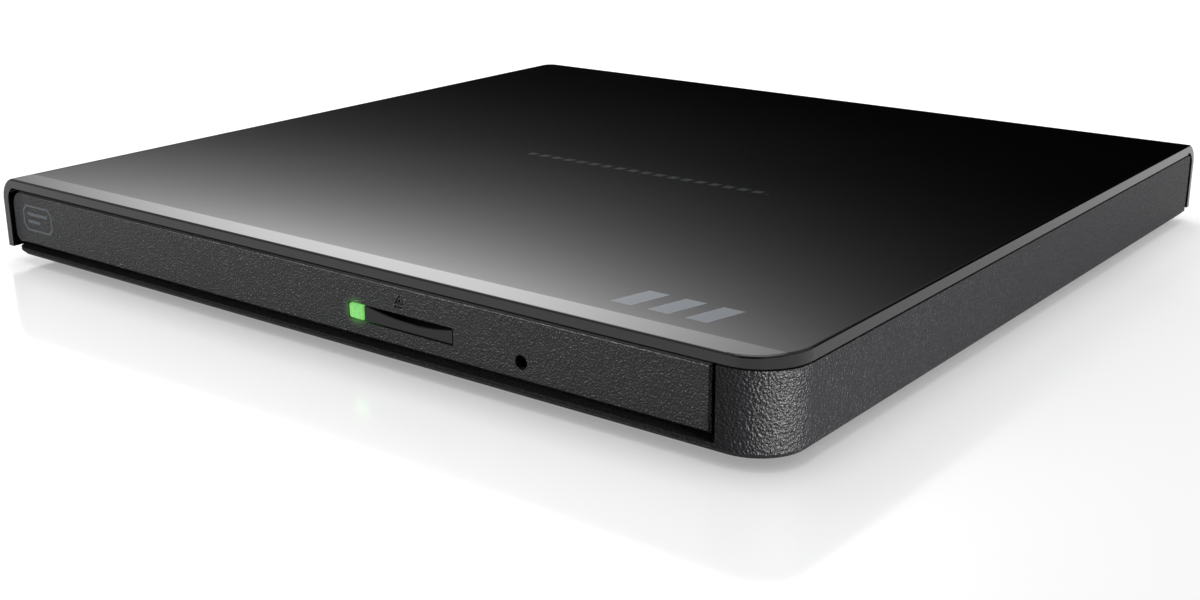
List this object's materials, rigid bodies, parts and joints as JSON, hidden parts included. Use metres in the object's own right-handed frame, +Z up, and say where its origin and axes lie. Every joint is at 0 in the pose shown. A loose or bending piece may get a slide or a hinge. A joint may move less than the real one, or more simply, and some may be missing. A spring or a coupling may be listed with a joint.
{
  "type": "external optical drive",
  "caption": "Slim portable optical disc drive: glossy folded cover over a grained base, sliding disc tray with eject bar, status light and emergency hole, USB port at the back.",
  "frame": {"origin": "under the middle of the body, in the plane the rubber feet stand on, with the tray shut", "axes": "+X to the right as seen from the tray side, +Y towards the back (the tray opens towards -Y), +Z up"},
  "size_m": [0.144, 0.1376, 0.014],
  "materials": {
    "cover_gloss": "high gloss, near black",
    "base_grain": "fine moulded leather grain, charcoal",
    "bezel_grain": "fine moulded grain, charcoal",
    "button_satin": "satin, slightly worn smooth",
    "light_green": "green, lit from behind",
    "foot_rubber": "soft matte",
    "screw_black": "black oxide",
    "screw_zinc": "bright zinc",
    "sheet_steel": "rolled galvanised sheet",
    "rail_steel": "drawn, lightly greased",
    "tray_black": "fine matte, scuffed where discs rest",
    "board_green": "solder mask",
    "chip_black": "moulded epoxy",
    "part_tan": "fired ceramic, tinned ends",
    "connector_white": "natural nylon",
    "port_plate": "nickel plated",
    "contact_gold": "gold plated",
    "flex_amber": "polyimide film",
    "frame_grey": "die-cast, bead blasted",
    "damper_rubber": "soft matte",
    "cover_plate_black": "fine black powder coat",
    "copper_wire": "enamelled copper",
    "rotor_steel": "turned",
    "magnet_grey": "bonded ferrite",
    "turntable_black": "fine turned sheen",
    "ring_rubber": "tacky matte",
    "sled_metal": "die-cast",
    "lens_glass": "coated, clear",
    "holder_black": "liquid-crystal polymer",
    "nut_white": "acetal"
  },
  "bodies": {
    "case": {"top_cover": "cover_gloss", "base_case": "base_grain", "rubber_feet": "foot_rubber", "case_screws": "screw_black", "drive_screws": "screw_black", "lower_housing": "sheet_steel", "upper_housing": "sheet_steel", "left_rail_guide": "rail_steel", "right_rail_guide": "rail_steel", "main_board": "board_green", "board_screws": "screw_zinc", "controller_chip": "chip_black", "motor_driver_chip": "chip_black", "board_capacitors": "part_tan", "board_connector": "connector_white", "usb_port_shell": "port_plate", "usb_port_tongue": "chip_black", "usb_port_contacts": "contact_gold", "flex_cable": "flex_amber", "latch_post": "rail_steel", "ejector_barrel": "connector_white"},
    "left_rail": {"left_rail": "rail_steel"},
    "right_rail": {"right_rail": "rail_steel"},
    "tray": {"disc_tray": "tray_black", "front_bezel": "bezel_grain", "light_pipe": "light_green", "front_board": "board_green", "tact_switch": "chip_black", "tray_connector": "connector_white", "traverse_frame": "frame_grey", "traverse_dampers": "damper_rubber", "traverse_screws": "screw_zinc", "traverse_cover": "cover_plate_black", "cover_plate_screws": "screw_zinc", "spindle_motor_base": "sheet_steel", "stator_core": "rotor_steel", "stator_coils": "copper_wire", "guide_rods": "rail_steel", "sled_motor": "sheet_steel", "solenoid_frame": "sheet_steel", "solenoid_coil": "copper_wire"},
    "button": {"eject_button": "button_satin"},
    "spindle": {"spindle_rotor": "rotor_steel", "rotor_magnet": "magnet_grey", "spindle_shaft": "rail_steel", "turntable": "turntable_black", "friction_ring": "ring_rubber"},
    "claw_1": {"hub_claw_1": "nut_white"},
    "claw_2": {"hub_claw_2": "nut_white"},
    "claw_3": {"hub_claw_3": "nut_white"},
    "sled": {"pickup_sled": "sled_metal", "pickup_cover": "cover_plate_black", "sled_nut": "nut_white"},
    "lens": {"lens_holder": "holder_black", "objective_lens": "lens_glass"},
    "screw": {"lead_screw": "rail_steel"},
    "latch": {"latch_lever": "nut_white"},
    "plunger": {"solenoid_plunger": "rail_steel"},
    "ejector": {"ejector_rod": "nut_white"}
  },
  "joints": [
    {"name": "tray_slide", "type": "slide", "parent": "case", "child": "tray", "axis": [0, -1, 0], "range_m": [0, 0.128]},
    {"name": "left_rail_slide", "type": "slide", "parent": "case", "child": "left_rail", "axis": [0, -1, 0], "range_m": [0, 0.0645]},
    {"name": "right_rail_slide", "type": "slide", "parent": "case", "child": "right_rail", "axis": [0, -1, 0], "range_m": [0, 0.0645]},
    {"name": "eject_press", "type": "slide", "parent": "tray", "child": "button", "axis": [0, 1, 0], "range_m": [0, 0.0004], "stiffness_N_per_m": 600},
    {"name": "spindle_spin", "type": "hinge", "parent": "tray", "child": "spindle", "pos_m": [-0.0036, -0.0036, 0.0087], "axis": [0, 0, 1], "continuous": true},
    {"name": "claw_1_retract", "type": "slide", "parent": "spindle", "child": "claw_1", "axis": [-0.7071, -0.7071, 0], "range_m": [0, 0.0005], "stiffness_N_per_m": 300},
    {"name": "claw_2_retract", "type": "slide", "parent": "spindle", "child": "claw_2", "axis": [0.9659, -0.2588, 0], "range_m": [0, 0.0005], "stiffness_N_per_m": 300},
    {"name": "claw_3_retract", "type": "slide", "parent": "spindle", "child": "claw_3", "axis": [-0.2588, 0.9659, 0], "range_m": [0, 0.0005], "stiffness_N_per_m": 300},
    {"name": "screw_spin", "type": "hinge", "parent": "tray", "child": "screw", "pos_m": [0.00814, 0.00814, 0.0054], "axis": [-0.7071, 0.7071, 0], "range_deg": [0, 4000]},
    {"name": "sled_slide", "type": "slide", "parent": "tray", "child": "sled", "axis": [-0.7071, 0.7071, 0], "range_m": [0, 0.0333]},
    {"name": "lens_focus", "type": "slide", "parent": "sled", "child": "lens", "axis": [0, 0, 1], "range_m": [-0.0004, 0.0004], "stiffness_N_per_m": 60},
    {"name": "latch_swing", "type": "hinge", "parent": "tray", "child": "latch", "pos_m": [0.0425, -0.06, 0.0058], "axis": [0, 0, 1], "range_deg": [0, 15]},
    {"name": "plunger_slide", "type": "slide", "parent": "tray", "child": "plunger", "axis": [-1, 0, 0], "range_m": [0, 0.0013]},
    {"name": "ejector_slide", "type": "slide", "parent": "case", "child": "ejector", "axis": [0, -1, 0], "range_m": [0, 0.012]}
  ],
  "couplings": [
    {"joint": "left_rail_slide", "follows": "tray_slide", "ratio": 0.5},
    {"joint": "right_rail_slide", "follows": "tray_slide", "ratio": 0.5},
    {"joint": "ejector_slide", "follows": "tray_slide", "ratio": 0.0935},
    {"joint": "screw_spin", "follows": "sled_slide", "rad_per_m": 2094.4},
    {"joint": "latch_swing", "follows": "plunger_slide", "rad_per_m": 200}
  ]
}
